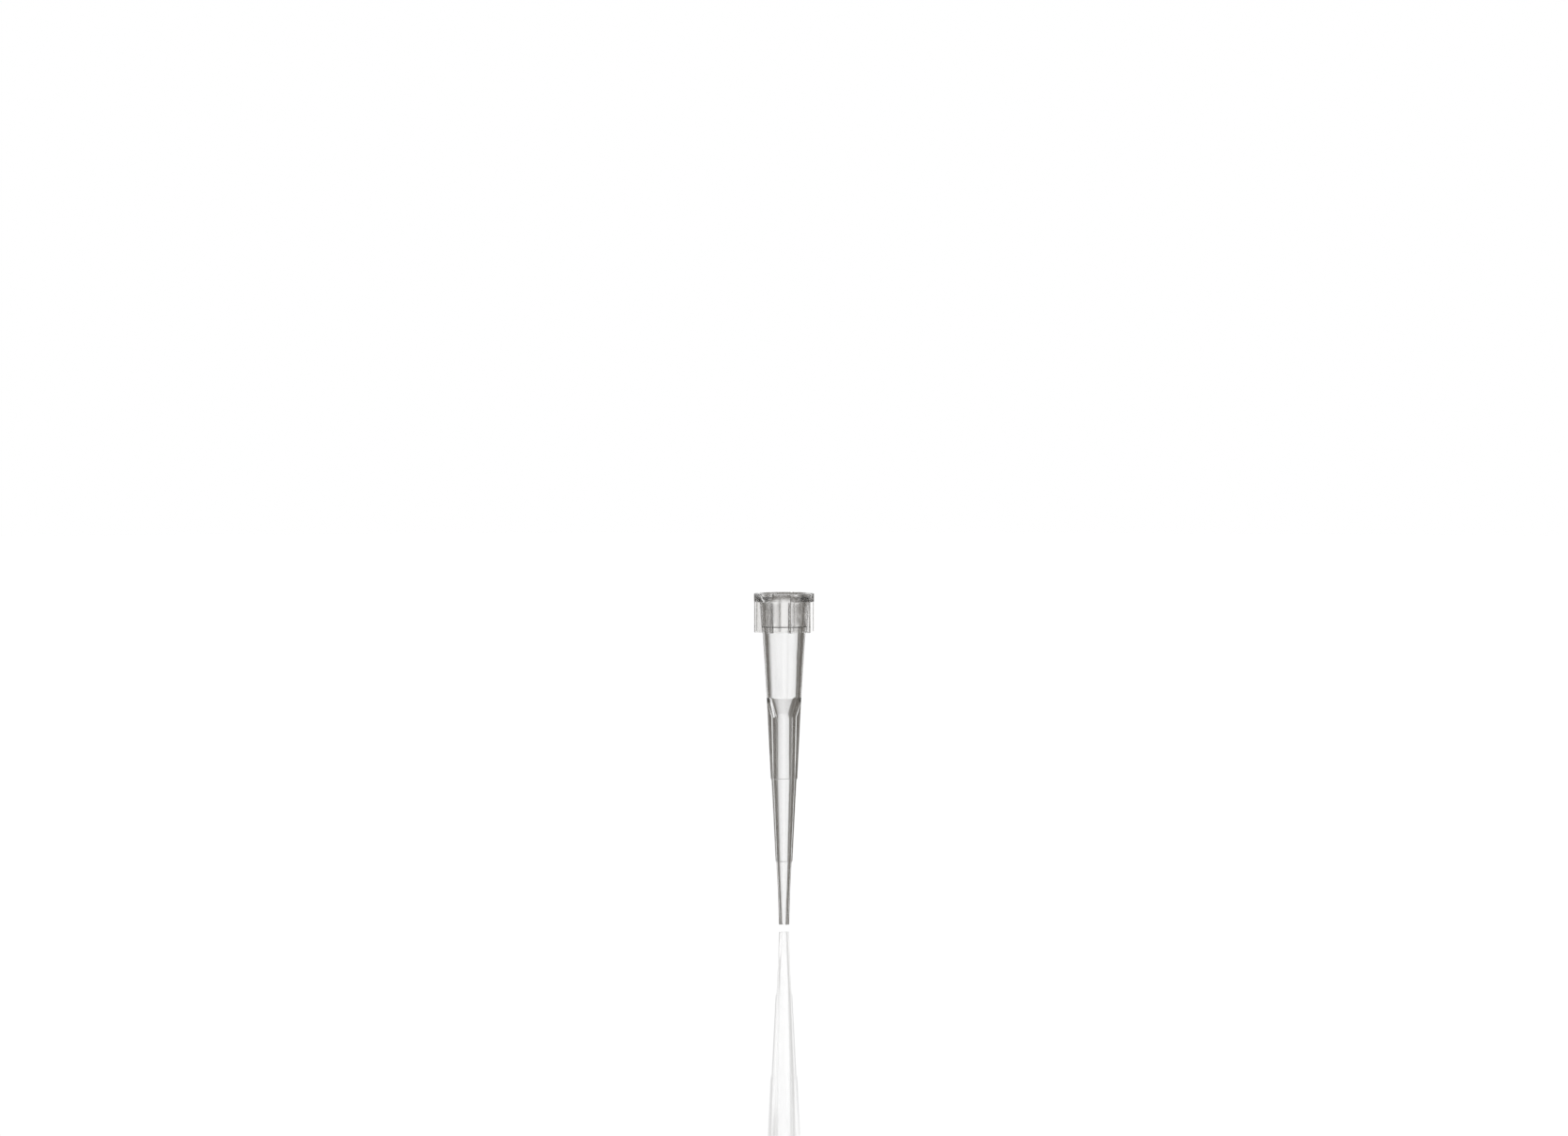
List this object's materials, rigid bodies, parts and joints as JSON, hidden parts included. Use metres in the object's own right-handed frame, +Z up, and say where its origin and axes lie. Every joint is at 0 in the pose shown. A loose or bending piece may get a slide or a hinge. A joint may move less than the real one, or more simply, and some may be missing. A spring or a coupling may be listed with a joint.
{
  "type": "pipette tip",
  "caption": "Short clear pipette tip: a ribbed collar and nozzle socket at the top, a funnel below it and a stepped, tapering point with a fine orifice.",
  "frame": {"origin": "centre of the collar's top face, on the tip's axis", "axes": "+Z up along the tip's axis towards the pipette, so the orifice is at the bottom; one rib points 13.7 degrees from +X"},
  "size_m": [0.0056, 0.0056, 0.0315],
  "materials": {
    "polypropylene": "clear natural polypropylene, injection moulded, glossy with slightly matt ribs"
  },
  "bodies": {
    "root": {"tip": "polypropylene"}
  },
  "joints": []
}
